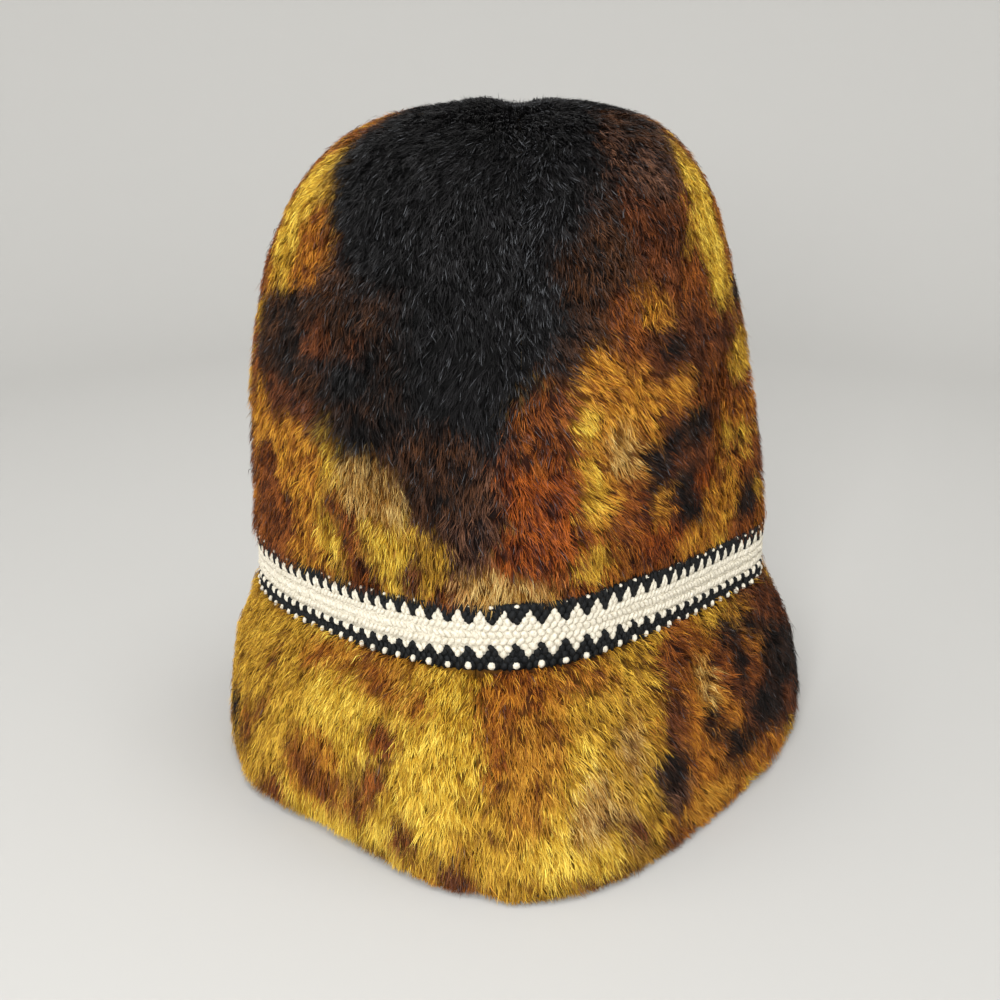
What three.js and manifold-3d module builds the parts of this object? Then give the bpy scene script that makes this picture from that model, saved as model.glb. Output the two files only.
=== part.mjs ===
// A tall fur hat that stands on its brim.
// The crown and the brim are fur cloth: a hollow wall whose pile hangs in rows of pointed locks.
// Each is sewn from a left and a right half, and a knitted braid covers the seam between crown and brim.
// Millimetres, +Z up. The origin is on the floor under the middle of the hat, and its front faces -Y.
import * as THREE from "three";
import { mergeVertices } from "three/addons/utils/BufferGeometryUtils.js";
import Module from "manifold-3d";

const wasm = await Module();
wasm.setup();

// Cloth and pile
const gap = 0.3; // between sewn pieces, so that each stays a solid of its own
const cloth = 2.6; // the woven back of the fur, bare behind the braid
const pile = 5.4; // dense pile on that cloth, up to where the locks part

// The hat in plan: a pointed front between flattened cheeks, and a round back. Each row gives, for one
// direction in degrees from the front, the reach on either side as a share of the half width
const plan = [
  { direction: 0, left: 0.91, right: 0.91 },
  { direction: 15, left: 0.9, right: 0.87 },
  { direction: 30, left: 0.86, right: 0.8 },
  { direction: 45, left: 0.835, right: 0.775 },
  { direction: 60, left: 0.85, right: 0.785 },
  { direction: 75, left: 0.91, right: 0.85 },
  { direction: 92, left: 1, right: 1 },
  { direction: 115, left: 1.03, right: 1.03 },
  { direction: 145, left: 1.06, right: 1.06 },
  { direction: 180, left: 1.07, right: 1.07 },
];
const middle = { x: -2.95, y: 1.8 }; // the plan's centre, which puts the origin under the middle of the hat

// The foot of the crown, which the braid covers: a little higher at the front and on the right
const foot = { halfWidth: 94.5, sideHeight: 72.5, frontRise: 7, backRise: 2, rightRise: 1.8 };

// The crown's outside: a row for each level from above the braid to the top. Shaped is how much of the
// plan's point and cheeks a level has, from 1 at the foot to 0 where it is round
const crownLevels = [
  { height: 86, halfWidth: 99.3, shiftX: -0.5, shaped: 1 },
  { height: 100, halfWidth: 98.5, shiftX: -1, shaped: 0.95 },
  { height: 125, halfWidth: 96, shiftX: -2.5, shaped: 0.8 },
  { height: 150, halfWidth: 92.5, shiftX: -4, shaped: 0.65 },
  { height: 175, halfWidth: 87.5, shiftX: -4.5, shaped: 0.5 },
  { height: 198, halfWidth: 80.5, shiftX: -4, shaped: 0.35 },
  { height: 217, halfWidth: 71, shiftX: -2.5, shaped: 0.2 },
  { height: 231, halfWidth: 57.5, shiftX: -0.5, shaped: 0.1 },
  { height: 239, halfWidth: 40, shiftX: 2, shaped: 0 },
  { height: 243, halfWidth: 18, shiftX: 3, shaped: 0 },
];

// Levels at which the inside gets a ring, from the top down, as shares of the way up
const crownInside = [0.94, 0.82, 0.68, 0.5, 0.25, 0];
const brimInside = [0.95, 0.6, 0.3];

// The brim's rim on the floor: how far it reaches on the left and on the right, for each direction
// in degrees from the front
const rimReaches = [
  { direction: 0, left: 123.5, right: 123.5 },
  { direction: 14, left: 117.5, right: 118 },
  { direction: 28, left: 107, right: 108 },
  { direction: 44, left: 104, right: 101 },
  { direction: 60, left: 109.5, right: 101 },
  { direction: 74, left: 110.5, right: 105 },
  { direction: 90, left: 110, right: 112.5 },
  { direction: 112, left: 112, right: 117.5 },
  { direction: 145, left: 116, right: 118 },
  { direction: 180, left: 118, right: 118 },
];
// Its rim's shift, how far it swells past a straight flare and stands out below the braid, and its sole
const brim = { shiftX: 2, swell: 4.5, shoulder: 4.5, soleInset: 3.2, soleWider: 1.5 };

// Locks of fur: how many go round, how many rows along the cloth's length, how far a tip hangs down and
// stands out, how far its root is tucked down and in, and how uneven the tips are
const crownLocks = { around: 28, rows: 14, length: 260, hang: 6, tuck: 2, tip: 1.5, root: -3.2, uneven: 1.4 };
const brimLocks = { around: 30, rows: 6, length: 75, hang: 5, tuck: 1.5, tip: 1.5, root: -3.2, uneven: 1.4 };
const overBraidRow = { hang: 2.2, tuck: 0, root: 0 };
const rimRow = { hang: 0, tuck: 0, root: -1.5 };
const clearOfFloor = 0.6; // the lowest tips, so that the hat stands on its flat sole

// Seams between left and right halves, where the fur sinks in a little
const seams = { crownX: -0.4, brimX: -15, sink: 2.4, reach: 7 };

// The braid: a cream middle whose teeth bite into two black edges
const braid = { height: 23, cream: 12.5, thick: 3.6, teeth: 72, tooth: 4.2, toothGap: 0.55 };
const overBraid = 0.8; // the fur starts this far above the braid and hangs down over it

const colours = {
  leftCrown: "#6f4a1c",
  rightCrown: "#8c5218",
  leftBrim: "#b88a2b",
  rightBrim: "#9a601f",
  cream: "#ece4d2",
  black: "#17181c",
};

const fullTurn = 2 * Math.PI;
const degrees = Math.PI / 180;

// A point round the hat's middle: angles run from the front (-Y) towards +X
function around(angle, reach, height, shiftX = 0) {
  const x = middle.x + shiftX + reach * Math.sin(angle);
  return new THREE.Vector3(x, middle.y - reach * Math.cos(angle), height);
}

// A number from 0 to 1 that is the same on every run
function scatter(row, column) {
  const wave = Math.sin(row * 12.9898 + column * 78.233) * 43758.5453;
  return wave - Math.floor(wave);
}

// Smooth reading of a table between its rows: place runs from 0 at the first row to 1 at the last
function readTable(rows, column, place) {
  const at = THREE.MathUtils.clamp(place, 0, 1) * (rows.length - 1);
  const low = Math.min(Math.floor(at), rows.length - 2);
  const value = (row) => rows[THREE.MathUtils.clamp(row, 0, rows.length - 1)][column];
  const curve = new THREE.CatmullRomCurve3(
    [low - 1, low, low + 1, low + 2].map((row) => new THREE.Vector3(value(row), 0, 0)),
    false,
    "catmullrom",
    0.5,
  );
  return curve.getPoint((1 + at - low) / 3).x;
}

// Height of the braid's middle line in one direction
function braidLine(angle) {
  const front = Math.max(0, Math.cos(angle)) ** 1.6;
  const back = Math.max(0, -Math.cos(angle)) ** 1.6;
  return foot.sideHeight + foot.frontRise * front + foot.backRise * back + foot.rightRise * Math.sin(angle);
}

// Reads a table that has a left and a right column for each direction
function readDirection(rows, angle) {
  const side = Math.sin(angle) < 0 ? "left" : "right";
  const direction = Math.abs(Math.atan2(Math.sin(angle), Math.cos(angle))) / degrees;
  const after = Math.max(1, rows.findIndex((row) => row.direction >= direction));
  const from = rows[after - 1].direction;
  const share = (direction - from) / (rows[after].direction - from);
  return readTable(rows, side, (after - 1 + share) / (rows.length - 1));
}

function footPoint(angle, out, height) {
  return around(angle, foot.halfWidth * readDirection(plan, angle) + out, height);
}

// The crown's outside, from the braid's upper edge (0) to the top (1)
function crownSkin(angle, along) {
  const read = (column) => readTable(crownLevels, column, along);
  const risen = braidLine(angle) + braid.height / 2 + overBraid - crownLevels[0].height;
  const height = read("height") + risen * (1 - along) ** 3;
  const share = THREE.MathUtils.lerp(1, readDirection(plan, angle), read("shaped"));
  return around(angle, read("halfWidth") * share, height, read("shiftX"));
}

// The brim's outside, from the rim on the floor (0) to the braid's lower edge (1)
function brimSkin(angle, along) {
  const top = footPoint(angle, pile + brim.shoulder, braidLine(angle) - braid.height / 2);
  const edge = around(angle, readDirection(rimReaches, angle), 0, brim.shiftX);
  const point = edge.lerp(top, along);
  const swell = brim.swell * Math.sin(Math.PI * along ** 0.75);
  return point.add(new THREE.Vector3(Math.sin(angle), -Math.cos(angle), 0).multiplyScalar(swell));
}

// A point of a skin, moved out along its normal
function raised(skin, angle, along, out) {
  const step = 1e-3;
  const low = Math.max(0, along - step);
  const high = Math.min(0.999, along + step);
  const up = skin(angle, high).sub(skin(angle, low));
  const side = skin(angle + step, along).sub(skin(angle - step, along));
  return skin(angle, along).addScaledVector(side.cross(up).normalize(), out);
}

function sunkAtSeam(point, seamX) {
  return -seams.sink * Math.exp(-(((point.x - seamX) / seams.reach) ** 2));
}

// Two rings for each row of locks: the roots of the row below, then the hanging tips over them
function lockRings(skin, locks, seamX, firstRow) {
  const columns = 2 * locks.around;
  const rings = [];
  for (let row = 0; row < locks.rows; row += 1) {
    const base = row / locks.rows;
    const { hang, tuck, root } = row === 0 ? firstRow : locks;
    const roots = [];
    const tips = [];
    for (let column = 0; column < columns; column += 1) {
      const angle = (column / columns) * fullTurn;
      const isTip = (column + row) % 2 === 0;
      const uneven = (scatter(row, column) - 0.5) * locks.uneven;
      const drop = isTip ? hang + uneven : -0.35 * locks.hang;
      const sunk = row === 0 ? 0 : sunkAtSeam(skin(angle, base), seamX);
      const tipOut = isTip ? locks.tip + uneven : root / 2;
      roots.push(hung(skin, angle, base, isTip ? tuck : 0, root + sunk, locks.length));
      tips.push(hung(skin, angle, base, drop, tipOut + sunk, locks.length));
    }
    rings.push(roots, tips);
  }
  return rings;
}

// A point of a skin that hangs drop mm below its place, straight down where that passes the skin's foot
function hung(skin, angle, base, drop, out, length) {
  const along = base - drop / length;
  const point = raised(skin, angle, Math.max(0, along), out);
  point.z += Math.min(0, along) * length;
  return point;
}

function plainRing(columns, pointAt) {
  return Array.from({ length: columns }, (_, column) => pointAt((column / columns) * fullTurn));
}

// A closed solid through rings of points, each ring joined to the next and the last to the first
function ringSolid(rings) {
  const columns = rings[0].length;
  const faces = [];
  rings.forEach((ring, row) => {
    const next = ((row + 1) % rings.length) * columns;
    for (let column = 0; column < columns; column += 1) {
      const beside = (column + 1) % columns;
      const [a, b, c, d] = [row * columns + column, row * columns + beside, next + beside, next + column];
      faces.push(a, b, c, a, c, d);
    }
  });
  const geometry = new THREE.BufferGeometry().setFromPoints(rings.flat());
  geometry.setIndex(faces);
  return toManifold(geometry);
}

function toManifold(geometry) {
  const bare = geometry.clone();
  bare.deleteAttribute("normal");
  bare.deleteAttribute("uv");
  const merged = mergeVertices(bare, 1e-4);
  const index = merged.index.array;
  const kept = [];
  for (let i = 0; i < index.length; i += 3) {
    const [a, b, c] = index.slice(i, i + 3);
    if (a !== b && b !== c && a !== c) kept.push(a, b, c);
  }
  const vertProperties = new Float32Array(merged.attributes.position.array);
  return new wasm.Manifold(new wasm.Mesh({ numProp: 3, vertProperties, triVerts: new Uint32Array(kept) }));
}

function toGeometry(solid) {
  const made = solid.getMesh();
  const geometry = new THREE.BufferGeometry();
  geometry.setAttribute("position", new THREE.BufferAttribute(made.vertProperties, 3));
  geometry.setIndex(new THREE.BufferAttribute(made.triVerts, 1));
  return geometry;
}

// The part of a solid on one side of an upright seam plane, side -1 for the left and 1 for the right
function halfOf(solid, seamX, side) {
  const size = 600;
  const box = new THREE.BoxGeometry(size, size, size);
  box.translate(seamX + side * (size / 2 + gap / 2), 0, 0);
  return solid.intersect(toManifold(box));
}

function makeCrown() {
  const columns = 2 * crownLocks.around;
  const join = (angle) => braidLine(angle) + gap / 2;
  const braidTop = (angle) => braidLine(angle) + braid.height / 2 + gap;
  const behind = -gap;
  const { height, shiftX } = crownLevels[crownLevels.length - 1];
  const top = (out) => around(0, 0, height + out, shiftX);
  const inward = -pile - cloth;
  return ringSolid([
    plainRing(columns, (angle) => footPoint(angle, behind, join(angle))),
    plainRing(columns, (angle) => footPoint(angle, behind, braidTop(angle))),
    ...lockRings(crownSkin, crownLocks, seams.crownX, overBraidRow),
    plainRing(columns, () => top(0)),
    plainRing(columns, () => top(inward)),
    ...crownInside.map((along) => plainRing(columns, (angle) => raised(crownSkin, angle, along, inward))),
    plainRing(columns, (angle) => footPoint(angle, behind - cloth, join(angle))),
  ]);
}

function makeBrim() {
  const columns = 2 * brimLocks.around;
  const join = (angle) => braidLine(angle) - gap / 2;
  const braidFoot = (angle) => braidLine(angle) - braid.height / 2 - gap;
  const behind = -gap;
  const inward = -pile - cloth;
  const flat = (point) => point.setZ(0);
  const lifted = (point) => point.setZ(Math.max(point.z, clearOfFloor));
  return ringSolid([
    plainRing(columns, (angle) => flat(raised(brimSkin, angle, 0, -brim.soleInset))),
    ...lockRings(brimSkin, brimLocks, seams.brimX, rimRow).map((ring) => ring.map(lifted)),
    plainRing(columns, (angle) => footPoint(angle, pile + brimLocks.root, braidFoot(angle))),
    plainRing(columns, (angle) => footPoint(angle, behind, braidFoot(angle))),
    plainRing(columns, (angle) => footPoint(angle, behind, join(angle))),
    plainRing(columns, (angle) => footPoint(angle, behind - cloth, join(angle))),
    ...brimInside.map((along) => plainRing(columns, (angle) => raised(brimSkin, angle, along, inward))),
    plainRing(columns, (angle) => flat(raised(brimSkin, angle, 0, inward - brim.soleWider))),
  ]);
}

// Angles that divide the way round the foot into equal lengths
function evenAngles(count) {
  const steps = 20 * count;
  const walked = [0];
  for (let step = 1; step <= steps; step += 1) {
    const from = footPoint(((step - 1) / steps) * fullTurn, 0, 0);
    walked.push(walked[step - 1] + from.distanceTo(footPoint((step / steps) * fullTurn, 0, 0)));
  }
  const nearest = (length) => walked.findIndex((value) => value >= length) / steps;
  return Array.from({ length: count }, (_, item) => nearest((item / count) * walked[steps]) * fullTurn);
}

// One strip of the braid between a lower and an upper edge, given as heights over the braid's line
function braidStrip(lowerEdge, upperEdge) {
  const angles = evenAngles(2 * braid.teeth);
  const edgeRing = (out, edge) =>
    angles.map((angle, column) => footPoint(angle, out, braidLine(angle) + edge(column)));
  return ringSolid([
    edgeRing(0, lowerEdge),
    edgeRing(braid.thick, lowerEdge),
    edgeRing(braid.thick, upperEdge),
    edgeRing(0, upperEdge),
  ]);
}

function furMaterial(colour) {
  return new THREE.MeshStandardMaterial({ color: colour, roughness: 0.85, metalness: 0, flatShading: true });
}

function yarnMaterial(colour) {
  return new THREE.MeshStandardMaterial({ color: colour, roughness: 0.95, metalness: 0, flatShading: true });
}

const hat = new THREE.Group();

function addPiece(name, solid, material) {
  const piece = new THREE.Mesh(toGeometry(solid), material);
  piece.name = name;
  hat.add(piece);
}

const crown = makeCrown();
addPiece("crown_left", halfOf(crown, seams.crownX, -1), furMaterial(colours.leftCrown));
addPiece("crown_right", halfOf(crown, seams.crownX, 1), furMaterial(colours.rightCrown));

const wholeBrim = makeBrim();
addPiece("brim_left", halfOf(wholeBrim, seams.brimX, -1), furMaterial(colours.leftBrim));
addPiece("brim_right", halfOf(wholeBrim, seams.brimX, 1), furMaterial(colours.rightBrim));

const toothEdge = (middle, side) => (column) => middle + side * (column % 2 === 0 ? 0.5 : -0.5) * braid.tooth;
const creamTop = braid.cream / 2;
const creamFoot = -braid.cream / 2;
const outerEdge = braid.height / 2;
addPiece(
  "braid_cream",
  braidStrip(toothEdge(creamFoot, -1), toothEdge(creamTop, 1)),
  yarnMaterial(colours.cream),
);
addPiece(
  "braid_upper_edge",
  braidStrip(toothEdge(creamTop + braid.toothGap, 1), () => outerEdge),
  yarnMaterial(colours.black),
);
addPiece(
  "braid_lower_edge",
  braidStrip(() => -outerEdge, toothEdge(creamFoot - braid.toothGap, -1)),
  yarnMaterial(colours.black),
);

export default hat;
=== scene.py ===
import math

import bmesh
import bpy
import numpy as np
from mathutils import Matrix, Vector


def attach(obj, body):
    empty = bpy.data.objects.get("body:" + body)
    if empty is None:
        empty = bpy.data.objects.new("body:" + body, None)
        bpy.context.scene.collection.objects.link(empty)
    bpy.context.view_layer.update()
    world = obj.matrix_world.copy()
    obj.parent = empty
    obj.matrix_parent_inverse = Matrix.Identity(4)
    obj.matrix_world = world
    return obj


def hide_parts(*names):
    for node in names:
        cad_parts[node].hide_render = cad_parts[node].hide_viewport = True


# A tall fur hat on its brim. Lengths are in millimetres until a mesh is made, then in metres.
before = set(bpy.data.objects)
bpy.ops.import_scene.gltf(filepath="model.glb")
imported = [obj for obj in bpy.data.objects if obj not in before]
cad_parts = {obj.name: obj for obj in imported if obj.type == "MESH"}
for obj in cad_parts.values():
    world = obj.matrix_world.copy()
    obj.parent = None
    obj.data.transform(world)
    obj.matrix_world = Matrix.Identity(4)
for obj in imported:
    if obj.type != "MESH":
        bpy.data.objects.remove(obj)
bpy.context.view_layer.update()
mm = 0.001


def toLinear(hexColour):
    channels = [int(hexColour[place : place + 2], 16) / 255 for place in (1, 3, 5)]
    return [c / 12.92 if c <= 0.04045 else ((c + 0.055) / 1.055) ** 2.4 for c in channels]


def addNode(tree, kind, output, inputs=None, colours=(), **settings):
    # Adds a node with its settings, links and a ramp's colours, and gives the named output
    node = tree.nodes.new("ShaderNode" + kind)
    for name, value in settings.items():
        setattr(node, name, value)
    for place, colour in enumerate(colours):
        node.color_ramp.elements[place].color = (*toLinear(colour), 1)
    for name, value in (inputs or {}).items():
        if isinstance(value, bpy.types.NodeSocket):
            tree.links.new(value, node.inputs[name])
        else:
            node.inputs[name].default_value = value
    return output and node.outputs[output]


def newMaterial(name, makeInputs):
    # makeInputs adds the pattern's nodes to the tree and gives the surface's inputs
    material = bpy.data.materials.new(name)
    material.use_nodes = True
    tree = material.node_tree
    tree.nodes.clear()
    shader = addNode(tree, "BsdfPrincipled", "BSDF", makeInputs(tree))
    addNode(tree, "OutputMaterial", None, {"Surface": shader})
    return material


# The hat's form, which repeats the CAD model's

hatForm = {
    "middle": (-2.95, 1.8),  # the plan's centre
    "plan": (  # direction from the front in degrees, reach on the left, reach on the right
        (0, 0.91, 0.91), (15, 0.9, 0.87), (30, 0.86, 0.8), (45, 0.835, 0.775), (60, 0.85, 0.785),
        (75, 0.91, 0.85), (92, 1, 1), (115, 1.03, 1.03), (145, 1.06, 1.06), (180, 1.07, 1.07),
    ),
    "foot": {"halfWidth": 94.5, "sideHeight": 72.5, "frontRise": 7, "backRise": 2, "rightRise": 1.8},
    "riseBend": 1.6,  # above 1, the rise keeps to the front and the back
    "crown": (  # height, half width, shift to the right, share of the plan's shape
        (86, 99.3, -0.5, 1), (100, 98.5, -1, 0.95), (125, 96, -2.5, 0.8), (150, 92.5, -4, 0.65),
        (175, 87.5, -4.5, 0.5), (198, 80.5, -4, 0.35), (217, 71, -2.5, 0.2), (231, 57.5, -0.5, 0.1),
        (239, 40, 2, 0), (243, 18, 3, 0), (243.6, 0, 3, 0),
    ),
    "rim": (  # direction from the front in degrees, reach on the left, reach on the right
        (0, 123.5, 123.5), (14, 117.5, 118), (28, 107, 108), (44, 104, 101), (60, 109.5, 101),
        (74, 110.5, 105), (90, 110, 112.5), (112, 112, 117.5), (145, 116, 118), (180, 118, 118),
    ),
    "brim": {"shiftX": 2, "swell": 4.5, "shoulder": 4.5, "tuck": 3.6, "tuckFrom": 0.6, "tuckBend": 1.5},
    "swellBend": 0.75,  # below 1, the brim swells most below its middle
    "cloth": 2.6, "pile": 5.4,
    "crownSeam": -0.4, "brimSeam": -15, "seamSink": 2.4, "seamReach": 7,
}
braidForm = {
    "height": 23, "cream": 12.5, "teeth": 100, "tooth": 4.2,
    "stretched": {"at": 8, "spread": 24, "more": 0.48},  # it is stretched round the front
    "overBraid": 0.8,  # the fur starts this far above the braid
}


def smoothColumn(values, at):
    # Catmull-Rom through a table's column, at a place counted in rows
    values = np.asarray(values, float)
    low = np.clip(np.floor(at).astype(int), 0, len(values) - 2)
    t = at - low
    before, start, end, after = (values[np.clip(low + step, 0, len(values) - 1)] for step in (-1, 0, 1, 2))
    bend = 2 * before - 5 * start + 4 * end - after
    return start + 0.5 * t * (end - before + t * (bend + t * (3 * (start - end) + after - before)))


def fromFront(angle):
    # Degrees from the front, below zero on the left
    return np.degrees(np.arctan2(np.sin(angle), np.cos(angle)))


def readDirection(rows, angle):
    table = np.asarray(rows, float)
    at = np.interp(np.abs(fromFront(angle)), table[:, 0], np.arange(len(table)))
    return np.where(np.sin(angle) < 0, smoothColumn(table[:, 1], at), smoothColumn(table[:, 2], at))


def around(angle, reach, height, shiftX=0):
    x = hatForm["middle"][0] + shiftX + reach * np.sin(angle)
    y = hatForm["middle"][1] - reach * np.cos(angle)
    return np.stack(np.broadcast_arrays(x, y, height), -1).astype(float)


def braidLine(angle):
    foot = hatForm["foot"]
    front = np.maximum(0, np.cos(angle)) ** hatForm["riseBend"]
    back = np.maximum(0, -np.cos(angle)) ** hatForm["riseBend"]
    rise = foot["frontRise"] * front + foot["backRise"] * back + foot["rightRise"] * np.sin(angle)
    return foot["sideHeight"] + rise


def footPoint(angle, out, height):
    return around(angle, hatForm["foot"]["halfWidth"] * readDirection(hatForm["plan"], angle) + out, height)


def crownSkin(angle, along):
    # The crown's outside, from the braid's upper edge (0) to the top (1)
    heights, halfWidths, shifts, shares = zip(*hatForm["crown"])
    at = np.clip(along, 0, 1) * (len(heights) - 1)
    risen = braidLine(angle) + braidForm["height"] / 2 + braidForm["overBraid"] - heights[0]
    height = smoothColumn(heights, at) + risen * (1 - along) ** 3
    share = 1 + (readDirection(hatForm["plan"], angle) - 1) * smoothColumn(shares, at)
    return around(angle, smoothColumn(halfWidths, at) * share, height, smoothColumn(shifts, at))


def brimSkin(angle, along):
    # The brim's outside, from the rim on the floor (0) to where the fur is tucked in under the braid (1)
    brim = hatForm["brim"]
    top = footPoint(angle, hatForm["pile"] + brim["shoulder"], braidLine(angle) - braidForm["height"] / 2)
    edge = around(angle, readDirection(hatForm["rim"], angle), 0, brim["shiftX"])
    share = np.asarray(along, float)[..., None]
    swell = brim["swell"] * np.sin(np.pi * np.clip(along, 0, 1) ** hatForm["swellBend"])
    tucked = np.clip((along - brim["tuckFrom"]) / (1 - brim["tuckFrom"]), 0, 1)
    swell = swell - brim["tuck"] * tucked ** brim["tuckBend"]
    outward = np.stack(np.broadcast_arrays(np.sin(angle), -np.cos(angle), 0), -1)
    return edge + (top - edge) * share + outward * np.asarray(swell)[..., None]


def unit(vectors):
    return vectors / np.maximum(np.linalg.norm(vectors, axis=-1, keepdims=True), 1e-12)


def skinFrame(skin, angle, along):
    # A skin's points, and there its directions to the side, up the cloth and outward
    step, last = 1e-3, 0.9995  # the very top has no direction
    near = np.clip(along, step, last - step)
    up = unit(skin(angle, near + step) - skin(angle, near - step))
    side = unit(skin(angle + step, near) - skin(angle - step, near))
    normal = unit(np.cross(side, up))
    return skin(angle, along), unit(np.cross(up, normal)), up, normal


def sunkAtSeam(points, seamX):
    return -hatForm["seamSink"] * np.exp(-(((points[..., 0] - seamX) / hatForm["seamReach"]) ** 2))


def sideOf(node):
    return -1 if node.endswith("left") else 1


# Noise and colour

def cellValue(cells, seed):
    # Large factors scatter a cell's place and the seed into an even number from 0 to 1
    x, y, z = (cells[..., axis] * factor for axis, factor in enumerate((73856093, 19349663, 83492791)))
    mixed = x ^ y ^ z ^ (seed * 2654435761)
    mixed = (mixed ^ (mixed >> 13)) * 1274126177 & 0xFFFFFFFF
    return ((mixed ^ (mixed >> 16)) & 0xFFFFFF) / 0xFFFFFF


def softNoise(points, size, seed):
    # Smooth noise from -1 to 1 whose lumps are about this size
    at = points / size
    low = np.floor(at).astype(np.int64)
    part = at - low
    part = part * part * (3 - 2 * part)
    total = 0
    for corner in range(8):
        step = np.array([corner & 1, corner >> 1 & 1, corner >> 2 & 1])
        weight = np.prod(np.where(step, part, 1 - part), axis=-1)
        total = total + weight * cellValue(low + step, seed)
    return 2 * total - 1


def axisNoise(points, size, seed):
    # A noise of its own for each axis
    return np.stack([softNoise(points, size, seed + axis) for axis in range(3)], -1)


def layeredNoise(points, layers, seed):
    # Noises added up: for each, the size of its lumps and how much it adds
    return sum(amount * softNoise(points, size, seed + order) for order, (size, amount) in enumerate(layers))


def smoothStep(low, high, value):
    share = np.clip((value - low) / (high - low), 0, 1)
    return share * share * (3 - 2 * share)


furColours = {  # the dark, the middle and the light hairs of a patch
    "gold": ("#5c370a", "#a97b1c", "#dfb540"),
    "straw": ("#855812", "#c59a24", "#f0d35a"),
    "amber": ("#562b07", "#9a6114", "#d29b36"),
    "orange": ("#421a06", "#84450f", "#c78528"),
    "honey": ("#582a07", "#a06016", "#e4a937"),
    "fox": ("#250a01", "#5f2504", "#b05b19"),
    "rust": ("#240d04", "#5f2c0a", "#a25c20"),
    "brown": ("#150702", "#421d07", "#7b4421"),
    "umber": ("#0a0402", "#231208", "#57351d"),
    "black": ("#020202", "#080708", "#201f20"),
    "coal": ("#030101", "#0f0704", "#352013"),
    "plum": ("#0b0402", "#29130a", "#765039"),
    "tan": ("#5f360e", "#a1732b", "#dcbd77"),
}
patchForm = {
    "seed": 7,
    "coarse": (18, 4.5),  # two noises shift the patches' outlines: size, how far
    "fine": (5, 2.6),
    "wilder": {"from": 10, "to": 60, "more": 1.6},  # behind, the patches are less planned
    # Soft mottles under the patches: colour, size of the lumps, the noise where it starts and is full
    "mottles": (("orange", 17, 0.15, 0.55), ("gold", 13, 0.3, 0.6)),
    "mottleWander": 6,
    "depth": 1.2,  # a patch reaches this far through the hat, as a share of its larger half
    "edge": 3.6,
    "blackEdge": 7.5,  # black fades out slowly
}
# Patches from the first laid down to the last: colour, direction from the front in degrees, height,
# half width, half height and, where it is turned, the degrees to the right
crownPatches = (
    ("honey", -58, 118, 40, 26), ("gold", -66, 208, 22, 26), ("straw", -72, 210, 9, 16),
    ("umber", -31, 186, 12, 13), ("umber", 13, 206, 12, 13), ("orange", -57, 197, 10, 15),
    ("umber", -42, 187, 12, 13), ("umber", 36, 216, 17, 26), ("brown", 44, 206, 17, 24),
    ("umber", 24, 200, 15, 16), ("straw", 74, 207, 10, 24), ("umber", 22, 180, 18, 24),
    ("rust", 32, 174, 9, 14), ("fox", 9, 130, 14, 30), ("fox", 12, 112, 9, 8),
    ("rust", 10, 152, 10, 13), ("umber", -56, 164, 36, 23), ("brown", -66, 146, 24, 7),
    ("honey", -78, 134, 8, 13), ("umber", -27, 158, 26, 32, -20), ("brown", -49, 172, 7, 7),
    ("brown", -31, 172, 8, 7), ("coal", -25, 164, 11, 22), ("black", -37, 162, 10, 8, -30),
    ("coal", -60, 168, 8, 12, 10), ("coal", -38, 141, 17, 8, -10), ("black", -38, 139, 13, 4, -12),
    ("black", -4, 186, 27, 26), ("black", -8, 158, 18, 26), ("plum", -10, 122, 14, 22),
    ("umber", -16, 134, 17, 14, -30), ("honey", 23, 164, 7, 9), ("honey", 22, 148, 8, 8),
    ("honey", 19, 127, 8, 12), ("straw", 20, 148, 3, 5), ("straw", 18, 128, 4, 7),
    ("honey", 32, 145, 9, 18), ("tan", 30, 138, 5, 9), ("brown", 52, 170, 20, 15),
    ("honey", 44, 156, 13, 4, -15), ("coal", 50, 171, 8, 4), ("honey", 43, 184, 8, 4),
    ("gold", 84, 158, 12, 11), ("brown", 74, 171, 12, 7), ("coal", 88, 180, 9, 7),
    ("fox", 50, 118, 22, 17), ("brown", 54, 129, 13, 8), ("coal", 59, 143, 13, 6, -5),
    ("coal", 45, 139, 13, 5, -40), ("coal", 38, 127, 5, 12), ("coal", 47, 125, 8, 4),
    ("coal", 55, 117, 6, 11, -20), ("coal", 61, 106, 6, 8, -15), ("honey", 73, 108, 10, 13),
    ("amber", 43, 117, 6, 7), ("coal", 84, 102, 9, 9), ("fox", 44, 103, 13, 7),
    ("honey", 61, 97, 11, 5), ("rust", -74, 106, 18, 19), ("honey", -60, 124, 12, 11),
    ("straw", -47, 113, 5, 22), ("rust", -38, 105, 7, 14), ("straw", -29, 106, 9, 15),
    ("tan", -33, 126, 15, 9, 20), ("rust", -46, 116, 5, 8), ("gold", -19, 103, 7, 10),
    ("brown", -22, 100, 4, 8), ("tan", 0, 97, 13, 6),
    # The sides and the back, which the photo doesn't show
    ("gold", 112, 150, 30, 26, 10), ("brown", 100, 122, 12, 16), ("black", 118, 118, 9, 12, 20),
    ("umber", 128, 176, 22, 20), ("gold", 138, 108, 24, 16), ("straw", 150, 128, 10, 16),
    ("umber", 172, 168, 30, 36), ("black", 178, 186, 22, 22), ("black", 166, 134, 9, 14),
    ("tan", 186, 128, 16, 12), ("orange", 196, 112, 22, 16), ("gold", 214, 150, 26, 24, -10),
    ("brown", 226, 118, 14, 12), ("black", 232, 168, 11, 12), ("straw", 240, 106, 12, 14),
    ("umber", 252, 186, 20, 14), ("gold", 262, 140, 18, 22), ("brown", 268, 118, 12, 10),
    ("black", -20, 228, 46, 40),  # the cap of black over the top
    ("black", 0, 243, 46, 38), ("plum", 48, 230, 18, 13), ("umber", 60, 238, 12, 10),
)
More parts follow.
